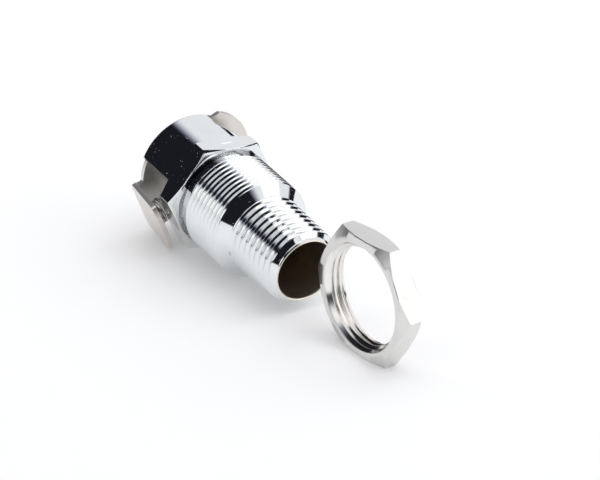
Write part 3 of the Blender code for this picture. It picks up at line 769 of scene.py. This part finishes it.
@dataclass
class CouplingBody:
    """The plated body: two threads, wrench hexagon, and the head with its slot and bores.

    Heights are from the pipe end, in millimetres.
    """

    length: float = 37.65
    pipe: Thread = Thread(INCH / 18, 0.95)
    pipe_end: float = 12.6
    pipe_crest: float = 6.57
    pipe_taper: float = 1 / 32
    pipe_lead_in: float = 5.45
    panel: Thread = Thread(INCH / 24, 0.62)
    panel_start: float = 14.0
    panel_end: float = 24.2
    panel_crest: float = 11 / 32 * INCH
    shoulder: float = 11 / 32 * INCH - 0.12
    relief: float = 11 / 32 * INCH - 0.75
    hex_start: float = 25.3
    hex_end: float = 29.4
    hex_flats: float = 23 / 32 * INCH
    hex_edge: float = 0.12
    clamp_recess: Point = (11 / 32 * INCH + 0.05, 0.1)
    head: float = 9.22
    head_edge: float = 0.3
    pipe_bore: float = 5.17
    mouth_edge: float = 0.1
    groove: tuple[float, float, float] = (5.47, 11.05, 11.85)
    chamber: float = 4.95
    chamber_start: float = 13.4
    seat: float = 3.5
    seat_front: float = 21.87
    seat_length: float = 1.1
    plug: float = 4.1
    collar: float = 5.6
    collar_start: float = 33.2
    collar_lead_in: float = 0.5
    slot_rear: float = 36.0
    slot_front: float = 37.0
    slot_width: float = 13.2
    flat_depth: float = 6.438
    flat_step: float = 0.05
    ear_pocket: float = 2.4
    pin_offset: float = 4.95
    pin_hole: float = 0.55
    pin_hole_end: float = 25.5
    spring_seat: float = 2.475
    spring_seat_depth: float = 0.55
    spring_height: float = 31.6
    past: float = 1.0

    def pipe_radius(self, height: float) -> float:
        """The taper thread's crest at a height."""
        return self.pipe_crest + self.pipe_taper * height

    def shank(self) -> list[Piece]:
        """Both threads, the shoulder between them, the mouth and the bore, up to the relief."""
        big_end = self.pipe_radius(self.pipe_end)
        panel = self.panel.side(
            "panel_thread", (self.shoulder, self.panel_start), (self.relief, self.panel_end),
            lambda height: self.panel_crest,
            lambda radius, height: min(radius, self.relief + self.panel_end - height),
        )
        pipe = self.pipe.side(
            "pipe_thread", (self.pipe_lead_in, 0.0), (big_end, self.pipe_end), self.pipe_radius,
            lambda radius, height: min(radius, self.pipe_lead_in + height),
        )
        cone = [(self.shoulder, self.panel_start), (big_end, self.pipe_end)]
        outer, low, high = self.groove
        bore = [
            (self.pipe_lead_in, 0.0), (self.pipe_bore + self.mouth_edge, 0.0),
            (self.pipe_bore, self.mouth_edge), (self.pipe_bore, low), (outer, low), (outer, high),
            (self.pipe_bore, high), (self.pipe_bore, self.chamber_start),
            (self.chamber, self.chamber_start),
            (self.chamber, self.seat_front - (self.chamber - self.seat)),
            (self.seat, self.seat_front), (self.seat, self.seat_front + self.seat_length),
            (self.plug, self.seat_front + self.seat_length), (self.plug, self.panel_end),
        ]
        shoulder = Bench.spun("shoulder", cone, Fineness.PLATED)
        return [panel, pipe, shoulder, Bench.spun("shank_bore", bore, Fineness.PLATED)]

    def head_blank(self) -> Piece:
        """The turned head down to the relief, with the wrench hexagon."""
        rounding = arc(
            (self.head - self.head_edge, self.length - self.head_edge), self.head_edge, 90, 0, 4
        )
        under = (self.hex_start + self.hex_end) / 2
        blank = Bench.turned("coupling_shell", [
            (0, self.length), *rounding, (self.head, under), (self.relief, under),
            (self.relief, self.panel_end), (0, self.panel_end),
        ], Fineness.PLATED)
        collar = Bench.hexagon(
            "wrench_hexagon", self.hex_flats, self.hex_start, self.hex_end, self.hex_edge,
            self.clamp_recess,
        )
        return Bench.combined(blank, "UNION", collar)

    def head_cutters(self) -> list[Piece]:
        """Tools for the slot, the thumb flat, the ear's pocket, the spring's seat and the bores."""
        out, half = 2 * self.head, self.slot_width / 2
        slot = Bench.box("slot", (-out, -half, self.slot_rear), (out, half, self.slot_front))
        flat = Bench.box(
            "thumb_flat", (-out, -out, self.hex_end + self.flat_step),
            (-self.flat_depth, out, self.length + out),
        )
        pocket = Bench.box(
            "pocket", (self.flat_depth, -half, self.slot_rear - self.ear_pocket),
            (out, half, (self.slot_rear + self.slot_front) / 2),
        )
        depth = self.flat_depth - self.spring_seat_depth
        seat = Bench.rod(
            "spring_seat", self.spring_seat, out, (-depth - out / 2, 0, self.spring_height),
            Fineness.TURNED.value, QUARTER,
        )
        top, foot = self.length + self.past, self.panel_end - self.past
        bore = Bench.turned("head_bore", [
            (0, top), (self.collar + self.collar_lead_in + self.past, top),
            (self.collar, self.length - self.collar_lead_in), (self.collar, self.collar_start),
            (self.plug, self.collar_start), (self.plug, foot), (0, foot),
        ], Fineness.PLATED)
        open_end = self.collar_start + self.past
        hole = Bench.rod(
            "pin_hole", self.pin_hole, open_end - self.pin_hole_end,
            (self.pin_offset, 0, (open_end + self.pin_hole_end) / 2), Fineness.DRILLED.value,
        )
        return [slot, flat, pocket, seat, bore, hole]

    def opened_below(self, piece: Piece) -> Piece:
        """Take away the head's lower face, where the shank joins it."""
        Bench.choose(piece)
        Bench.editing(Part.FACE)
        bpy.ops.mesh.select_all(action="DESELECT")
        bpy.ops.object.mode_set(mode="OBJECT")
        for polygon in piece.data.polygons:
            polygon.select = abs(polygon.center.z - self.panel_end) < MERGE
        Bench.editing(Part.FACE)
        bpy.ops.mesh.delete(type="FACE")
        bpy.ops.object.mode_set(mode="OBJECT")
        return piece

    def build(self) -> Piece:
        """Make the whole body as one closed mesh."""
        head = self.head_blank()
        for tool in self.head_cutters():
            Bench.combined(head, "DIFFERENCE", tool)
        return Bench.sewn(self.opened_below(head), *self.shank())


@dataclass
class Latch:
    """The bent latch plate and its spring, in millimetres."""

    height: float = 36.5
    thickness: float = 0.8
    width: float = 13.0
    hole: float = 5.65
    ear_reach: float = 11.3
    ear_radius: float = 8.4
    head: float = 9.22
    neck_width: float = 6.6
    bend_start: float = 9.65
    bend_radius: float = 0.7
    bend_angle: float = 84.8
    bend_steps: int = 12
    pad_width: float = 9.8
    pad_length: float = 9.4
    pad_end: float = 10.0
    pad_corner: float = 0.7
    pad_shoulder: float = 0.6
    shoulder_ease: Point = (0.25, 0.35)
    corner_ease: float = 0.1
    edge: float = 0.16
    edge_limit: float = math.radians(50)
    spring_drop: float = 4.9
    spring_foot: float = 5.988
    spring_radius: float = 1.95
    spring_wire: float = 0.45
    spring_turns: float = 4.5
    spring_gap: float = 0.1

    def blank_outline(self) -> list[Point]:
        """The flat blank from the ear's middle all the way round, less its last point."""
        half, neck, side = self.width / 2, self.neck_width / 2, self.pad_width / 2
        ear = math.degrees(math.asin(half / self.ear_radius))
        wide = 180 - math.degrees(math.asin(half / self.head))
        narrow = 180 - math.degrees(math.asin(neck / self.head))
        bend = self.bend_radius * math.radians(self.bend_angle)
        pad_start = -(self.bend_start + bend)
        end_centre = pad_start - self.pad_length + self.pad_end
        lean = math.degrees(math.asin((side - self.pad_corner / 2) / self.pad_end))
        points = arc((self.ear_reach - self.ear_radius, 0), self.ear_radius, 0, ear, 20)
        points += arc((0, 0), self.head, wide, narrow, 6)
        back, inset = self.shoulder_ease
        points += [(-self.bend_start, neck), (pad_start, neck), (pad_start - back, side - inset)]
        points += [(pad_start - self.pad_shoulder, side)]
        corner = end_centre - self.pad_end * math.cos(math.radians(lean))
        points += [(corner + self.pad_corner, side)]
        points += [(corner + self.pad_corner / 3, side - self.corner_ease)]
        points += arc((end_centre, 0), self.pad_end, 180 - lean, 180, 14)
        return points + [(x, -y) for x, y in reversed(points[1:-1])]

    def bent(self, past: float) -> tuple[float, float]:
        """Where a point of the sheet goes, from its way past the bend's start."""
        full = math.radians(self.bend_angle)
        angle = min(past / self.bend_radius, full)
        straight = max(0.0, past - self.bend_radius * full)
        reach = self.bend_start + self.bend_radius * math.sin(angle) + straight * math.cos(angle)
        drop = self.bend_radius * (1 - math.cos(angle)) + straight * math.sin(angle)
        return -reach, self.height - drop

    def plate(self) -> Piece:
        """Cut the blank at the bend's steps, bend it, thicken it, pierce it and break its edges."""
        piece = Bench.outline("latch_sheet", self.blank_outline(), flat=True)
        Bench.editing(Part.VERTEX)
        bpy.ops.mesh.select_all(action="SELECT")
        bpy.ops.mesh.edge_face_add()
        bend = self.bend_radius * math.radians(self.bend_angle)
        for step in range(self.bend_steps + 1):
            bpy.ops.mesh.select_all(action="SELECT")
            line = -self.bend_start - bend * step / self.bend_steps
            bpy.ops.mesh.bisect(plane_co=(line, 0, 0), plane_no=(1, 0, 0))
        bpy.ops.object.mode_set(mode="OBJECT")
        for vertex in piece.data.vertices:
            past = -self.bend_start - vertex.co.x
            vertex.co.z = self.height
            if past > 0:
                vertex.co.x, vertex.co.z = self.bent(past)
        Bench.sewn(piece)
        Bench.applied(piece, "SOLIDIFY", thickness=self.thickness, offset=0.0, use_even_offset=True)
        punch = Bench.rod(
            "plate_hole", self.hole, 4 * self.thickness, (0, 0, self.height),
            Fineness.TURNED.value,
        )
        Bench.combined(piece, "DIFFERENCE", punch)
        return Bench.applied(
            piece, "BEVEL", width=self.edge, segments=2, limit_method="ANGLE",
            angle_limit=self.edge_limit, use_clamp_overlap=True,
        )

    def spring(self) -> Piece:
        """The coil between the head's seat and the pad."""
        slope = 1 / math.tan(math.radians(self.bend_angle))
        down = self.spring_drop - self.bend_radius
        pad = self.bend_start + self.bend_radius + down * slope - self.thickness / 2
        lean = (self.spring_radius + self.spring_wire / 2) * slope
        length = pad - lean - self.spring_foot - self.spring_gap
        coil = Coil(self.spring_radius, self.spring_wire, length, self.spring_turns)
        place = Matrix.Translation((-self.spring_foot, 0, self.height - self.spring_drop))
        return coil.build("latch_coil", place @ Matrix.Rotation(-QUARTER, 4, "Y"))


@dataclass
class LockingPin:
    """The pin that holds the latch pushed in, and its spring, in millimetres."""

    offset: float = 4.95
    radius: float = 0.5
    nose_radius: float = 0.1
    nose_length: float = 0.6
    tip: float = 36.9
    tip_rise: float = 0.01
    foot: float = 30.7
    edge: float = 0.12
    hole_end: float = 25.5
    wire: float = 0.16
    turns: float = 9.0
    gap: float = 0.05

    def pin(self) -> Piece:
        """Turn the pin and stand it beside the bore."""
        rounded = self.nose_radius / 2
        piece = Bench.turned("lock_pin", [
            (0, self.tip), (rounded, self.tip - self.tip_rise),
            (self.nose_radius, self.tip - rounded),
            (self.radius, self.tip - self.nose_length), (self.radius, self.foot + self.edge),
            (self.radius - self.edge, self.foot), (0, self.foot),
        ], Fineness.TURNED)
        piece.location.x = self.offset
        bpy.ops.object.transform_apply(location=True, rotation=True, scale=True)
        return piece

    def spring(self) -> Piece:
        """The fine coil under the pin."""
        length = self.foot - self.hole_end - 2 * self.gap
        radius = self.radius - self.wire / 2
        coil = Coil(radius, self.wire, length, self.turns, steps_per_turn=16)
        foot = Matrix.Translation((self.offset, 0, self.hole_end + self.gap))
        return coil.build("lock_pin_coil", foot)


@dataclass
class ShutOffValve:
    """Poppet, rubber ring and spring in the chamber, in millimetres from the pipe end."""

    seal_height: float = 20.347
    seal_wire: float = 1.2
    seal_inner: float = 3.15
    gap: float = 0.05
    disc: float = 4.0
    disc_thickness: float = 1.5
    disc_edge: float = 0.2
    nose: float = 1.5
    lip_width: float = 0.2
    lip_length: float = 0.3
    cap: float = 2.4
    cap_length: float = 1.2
    cap_neck: float = 0.6
    tip: float = 27.07
    stem: float = 1.1
    stem_length: float = 6.2
    guide_front: float = 13.1
    spring_radius: float = 2.95
    spring_wire: float = 0.5
    spring_turns: float = 3.5

    def disc_rear(self) -> float:
        """Height of the disc's rear face."""
        return self.seal_height - self.seal_wire / 2 - self.gap - self.disc_thickness

    def poppet(self) -> Piece:
        """Turn the poppet: domed nose, neck, seal groove, disc and stem."""
        rear = self.disc_rear()
        groove_rear = rear + self.disc_thickness
        groove_front = self.seal_height + self.seal_wire / 2 + self.gap
        floor, lip = self.seal_inner - self.gap, self.seal_inner + self.lip_width
        cap_rear = self.tip - self.cap_length
        flat = self.cap_length / self.cap
        dome = [(r, cap_rear + h * flat) for r, h in arc((0, 0), self.cap, 84, 6, 13)]
        foot, edge = rear - self.stem_length, self.disc_edge
        return Bench.turned("valve_head", [
            (0, self.tip), *dome, (self.cap, cap_rear), (self.nose, cap_rear - self.cap_neck),
            (self.nose, groove_front + self.lip_length + edge),
            (self.nose + edge, groove_front + self.lip_length),
            (lip, groove_front + self.lip_length), (lip, groove_front), (floor, groove_front),
            (floor, groove_rear), (self.disc - edge, groove_rear), (self.disc, groove_rear - edge),
            (self.disc, rear + edge), (self.disc - edge, rear), (self.stem, rear),
            (self.stem, foot + edge), (self.stem - edge, foot), (0, foot),
        ], Fineness.TURNED)

    def seal(self) -> Piece:
        """Turn the rubber ring."""
        half = self.seal_wire / 2
        ring = arc((self.seal_inner + half, self.seal_height), half, 90, -270, 24)
        return Bench.turned("seal_ring", ring, Fineness.TURNED)

    def spring(self) -> Piece:
        """The coil between the guide and the poppet's disc."""
        low = self.guide_front + 2 * self.gap
        length = self.disc_rear() - low - 2 * self.gap
        coil = Coil(self.spring_radius, self.spring_wire, length, self.spring_turns)
        return coil.build("valve_coil", Matrix.Translation((0, 0, low)))


@dataclass
class JamNut:
    """The thin hexagon nut with the panel thread through it, in millimetres."""

    flats: float = 13 / 16 * INCH
    thickness: float = 5 / 32 * INCH
    edge: float = 0.14
    thread: Thread = Thread(INCH / 24, 0.62)
    crest: float = 11 / 32 * INCH + 0.1
    countersink: float = 9.1
    past: float = 0.6

    def build(self) -> Piece:
        """Chamfer the prism and cut the thread with a threaded plug."""
        half = self.thickness / 2
        end, mouth = half + self.past, self.countersink + self.past
        nut = Bench.hexagon("hexagon_nut", self.flats, -half, half, self.edge)
        side = self.thread.side(
            "nut_thread", (mouth, -end), (mouth, end), lambda height: self.crest,
            lambda radius, height: max(radius, self.countersink + abs(height) - half),
        )
        top = Bench.spun("plug_top", [(0, end), (mouth, end)], Fineness.PLATED)
        foot = Bench.spun("plug_foot", [(mouth, -end), (0, -end)], Fineness.PLATED)
        return Bench.combined(nut, "DIFFERENCE", Bench.sewn(side, top, foot))


@dataclass(frozen=True)
class Placement:
    """Where the coupling's and the nut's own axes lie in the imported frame."""

    coupling: Matrix
    nut: Matrix

    @classmethod
    def from_frame(cls, frame: dict, body: CouplingBody, nut: JamNut) -> Placement:
        """Work both out from the frame's joints and mounts.

        Args:
            frame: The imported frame.
            body: The body's sizes, for its wrench hexagon.
            nut: The nut's sizes, for its width across the flats.

        Returns:
            The two placements.
        """
        joints = {joint["name"]: Vector(joint["axis"]) for joint in frame["joints"]}
        mounts = {mount["name"]: mount for mount in frame["record"]["mounts"]}
        flat, nut_flat, nut_face = (
            mounts[name] for name in ("body_wrench_flat", "nut_wrench_flat", "nut_clamp_face")
        )
        turns = cls.axes(-joints["valve_slide"], -joints["latch_slide"])
        height = (body.hex_start + body.hex_end) / 2 * MM
        mouth = cls.under(flat, body.hex_flats) - turns @ Vector((0, 0, height))
        middle = cls.under(nut_flat, nut.flats)
        along, up = Vector(nut_face["axis"]), Vector(nut_flat["axis"])
        return cls(
            Matrix.Translation(mouth) @ turns.to_4x4(),
            Matrix.Translation(middle) @ cls.axes(along, up).to_4x4(),
        )

    @staticmethod
    def under(flat: dict, flats: float) -> Vector:
        """The point of the axis behind the middle of a wrench flat."""
        return Vector(flat["pos_m"]) - Vector(flat["axis"]).normalized() * flats / 2 * MM

    @staticmethod
    def axes(forward: Vector, across: Vector) -> Matrix:
        """A turn whose Z is forward and whose X is as near across as it can be."""
        z = forward.normalized()
        y = z.cross(across).normalized()
        return Matrix((y.cross(z), y, z)).transposed()


class Workshop:
    """Builds every piece, dresses it, and hangs each rigid piece on its body of the frame."""

    def __init__(self, frame: dict) -> None:
        """Keep the frame and work out where the axes lie."""
        self.frame = frame
        self.body = CouplingBody()
        self.nut = JamNut()
        self.placement = Placement.from_frame(frame, self.body, self.nut)
        self.materials = {
            slot: finish.material(self.placement.nut if slot is Slot.NICKEL else self.placement.coupling)
            for slot, finish in FINISHES.items()
        }

    def mount(self, piece: Piece, node: str, body: Body, slot: Slot) -> Piece:
        """Lay, smooth and dress a piece, and let it stand for a CAD node.

        Args:
            piece: The piece, in its own axes.
            node: The CAD node that it stands for.
            body: The body that it rides on.
            slot: Its material slot.

        Returns:
            The piece, in the frame's axes.
        """
        place = self.placement.nut if body is Body.NUT else self.placement.coupling
        Bench.laid(Bench.smoothed(piece), place)
        piece.data.materials.clear()
        piece.data.materials.append(self.materials[slot])
        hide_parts(node)
        LOG.info("%s: %d faces, on %s", piece.name, len(piece.data.polygons), body.value)
        return piece

    def rigid(self, piece: Piece, node: str, body: Body, slot: Slot) -> None:
        """Mount a piece that keeps its shape."""
        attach(self.mount(piece, node, body, slot), body.value)

    def sprung(self, piece: Piece, node: str, mover: Body, ends: tuple[Vector, Vector]) -> None:
        """Mount a spring that sits between the coupling and a body that slides on it, and bake it in
        place.

        Args:
            piece: The spring.
            node: The CAD node that it stands for.
            mover: The body that its far end rests on.
            ends: Its fixed end and its far end, in the coupling's axes; not used.
        """
        self.mount(piece, node, mover, Slot.WIRE)
        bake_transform(piece)

    def carried_over(self, node: str, slot: Slot) -> None:
        """Dress a CAD node whose shape is right."""
        piece = self.frame["nodes"][node]
        piece.data.materials.clear()
        piece.data.materials.append(self.materials[slot])
        LOG.info("%s: carried over", node)

    def build(self) -> None:
        """Make every piece of the coupling and the nut."""
        latch, pin, valve = Latch(), LockingPin(), ShutOffValve()
        self.rigid(self.body.build(), "coupling_body", Body.COUPLING, Slot.CHROME)
        self.rigid(latch.plate(), "latch_plate", Body.LATCH, Slot.SHEET)
        self.rigid(pin.pin(), "locking_pin", Body.PIN, Slot.WIRE)
        self.rigid(valve.poppet(), "valve_poppet", Body.VALVE, Slot.BRASS)
        self.rigid(valve.seal(), "valve_seal", Body.VALVE, Slot.RUBBER)
        self.rigid(self.nut.build(), "jam_nut", Body.NUT, Slot.NICKEL)
        height = latch.height - latch.spring_drop
        self.sprung(latch.spring(), "latch_spring", Body.LATCH, (
            Vector((-latch.spring_foot, 0, height)), Vector((-latch.bend_start, 0, height)),
        ))
        self.sprung(pin.spring(), "locking_pin_spring", Body.PIN, (
            Vector((pin.offset, 0, pin.hole_end)), Vector((pin.offset, 0, pin.foot)),
        ))
        self.sprung(valve.spring(), "valve_spring", Body.VALVE, (
            Vector((0, 0, valve.guide_front)), Vector((0, 0, valve.disc_rear())),
        ))
        self.carried_over("valve_guide", Slot.BRASS)
        self.carried_over("guide_retaining_ring", Slot.WIRE)


@dataclass(frozen=True)
class Card:
    """A soft-edged bright field in the room, as the metal mirrors it.

    Attributes:
        towards: Direction of its middle.
        reach: Half its width, in degrees.
        softness: Width of its fading edge, in degrees.
        brightness: Its radiance.
        foot: How high it starts, as the sine of the elevation.
        foot_softness: Height over which it fades in there.
    """

    towards: tuple[float, float, float]
    reach: float
    softness: float
    brightness: float
    foot: float = -1.0
    foot_softness: float = 0.06

    def glow(self, nodes: Nodes, where: bpy.types.NodeSocket) -> Level:
        """The light that comes from a direction."""
        middle = Vector(self.towards).normalized()
        dot = nodes.node("ShaderNodeVectorMath", {"operation": "DOT_PRODUCT"}, {0: where, 1: middle})
        rise = nodes.node("ShaderNodeSeparateXYZ", {}, {"Vector": where})
        inner = math.cos(math.radians(self.reach - self.softness / 2))
        outer = math.cos(math.radians(self.reach + self.softness / 2))
        facing = Level(nodes, dot.outputs["Value"]).above((inner + outer) / 2, inner - outer)
        lifted = Level(nodes, rise.outputs["Z"]).above(self.foot, self.foot_softness)
        return facing * lifted * self.brightness


@dataclass(frozen=True)
class Lamp:
    """A square lamp that faces the pieces, in metres and watts; the metal doesn't mirror it."""

    name: str
    place: tuple[float, float, float]
    width: float
    power: float

    def build(self) -> None:
        """Hang the lamp and turn it to the pieces."""
        light = bpy.data.lights.new(self.name, "AREA")
        light.size, light.energy = self.width, self.power
        hung = bpy.data.objects.new(self.name, light)
        bpy.context.scene.collection.objects.link(hung)
        hung.location = self.place
        hung.rotation_euler = (-Vector(self.place)).to_track_quat("-Z", "Y").to_euler()
        hung.visible_glossy = False


@dataclass
class Studio:
    """The pale floor, the lamps, the room and the camera, in metres and degrees."""

    azimuth: float = 57.34
    elevation: float = 27.47
    roll: float = 1.39
    distance: float = 0.684
    target: tuple[float, float, float] = (0.0089, -0.0030, 0.0158)
    lens: float = 259.5
    floor_radius: float = 0.4
    floor_colour: Colour = (0.70, 0.702, 0.708, 1.0)
    floor_glow: float = 0.25
    floor_shade: float = 0.985
    floor_roughness: float = 0.85
    sensor: float = 36.0
    clip: tuple[float, float] = (0.01, 20.0)
    far_colour: Colour = (0.955, 0.96, 0.98, 1.0)
    dark_colour: Colour = (0.72, 0.76, 1.0, 1.0)
    dark_level: float = 0.016
    cards: tuple[Card, ...] = (
        Card((0.0, 0.8, 0.6), 60.0, 14.0, 0.93, 0.13),
        Card((0.718, 0.604, 0.348), 17.0, 8.0, 0.8),
        Card((0.20, -0.94, 0.28), 21.0, 10.0, 1.1),
        Card((0.20, -0.25, 0.95), 31.0, 14.0, 0.9),
        Card((0.90, -0.42, -0.03), 10.0, 5.0, 1.1),
    )
    lamps: tuple[Lamp, ...] = (
        Lamp("key_lamp", (0.08, 0.44, 0.50), 0.45, 0.9),
        Lamp("top_lamp", (0.05, 0.02, 0.85), 1.0, 1.2),
        Lamp("fill_lamp", (-0.50, -0.20, 0.40), 0.6, 1.0),
    )

    def floor(self) -> None:
        """Lay a wide round card with a faint unevenness."""
        bpy.ops.object.select_all(action="DESELECT")
        bpy.ops.mesh.primitive_circle_add(
            vertices=Fineness.TURNED.value, radius=self.floor_radius, fill_type="NGON"
        )
        piece = Bench.named("studio_floor")
        recipe = Recipe("pale_card", Matrix.Identity(4))
        shade = tuple(self.floor_shade * share for share in self.floor_colour[:3]) + (1.0,)
        colour = recipe.blend(recipe.noise(0.02, 2.0), self.floor_colour, shade)
        piece.data.materials.append(recipe.finish(
            Base_Color=colour, Roughness=self.floor_roughness, Emission_Color=WHITE,
            Emission_Strength=self.floor_glow,
        ))

    def room(self) -> None:
        """A dark room with bright cards round the pieces; behind them it looks pale."""
        world = bpy.data.worlds.new("studio_room")
        world.use_nodes = True
        bpy.context.scene.world = world
        nodes = Nodes(world.node_tree)
        where = nodes.node("ShaderNodeTexCoord", {}, {}).outputs["Generated"]
        path = nodes.node("ShaderNodeLightPath", {}, {}).outputs["Is Camera Ray"]
        seen = Level(nodes, path)
        glow = sum((card.glow(nodes, where) for card in self.cards), start=0.0)
        colour = nodes.blend(seen, nodes.blend(glow, self.dark_colour, WHITE), self.far_colour)
        background = nodes.tree.nodes["Background"]
        nodes.feed(background.inputs["Color"], colour)
        nodes.feed(background.inputs["Strength"], (glow + self.dark_level) * (1 - seen) + seen)

    def camera(self) -> None:
        """Set the camera on its stand, aimed at the target."""
        turn, rise = math.radians(self.azimuth), math.radians(self.elevation)
        back = Vector((
            math.sin(turn) * math.cos(rise), -math.cos(turn) * math.cos(rise), math.sin(rise),
        ))
        data = bpy.data.cameras.new("studio_camera")
        data.lens, data.sensor_width = self.lens, self.sensor
        data.clip_start, data.clip_end = self.clip
        stand = bpy.data.objects.new("studio_camera", data)
        bpy.context.scene.collection.objects.link(stand)
        aim = (-back).to_track_quat("-Z", "Y").to_matrix().to_4x4()
        place = Matrix.Translation(Vector(self.target) + back * self.distance)
        stand.matrix_world = place @ aim @ Matrix.Rotation(math.radians(self.roll), 4, "Z")
        bpy.context.scene.camera = stand

    def build(self) -> None:
        """Set up the whole studio."""
        self.camera()
        self.floor()
        self.room()
        for lamp in self.lamps:
            lamp.build()
        bpy.context.scene.view_settings.view_transform = "Standard"


def main() -> None:
    """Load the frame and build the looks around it."""
    logging.basicConfig(level=logging.INFO, format="%(name)s: %(message)s")
    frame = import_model()
    Studio().build()
    Workshop(frame).build()


if __name__ == "__main__":
    main()
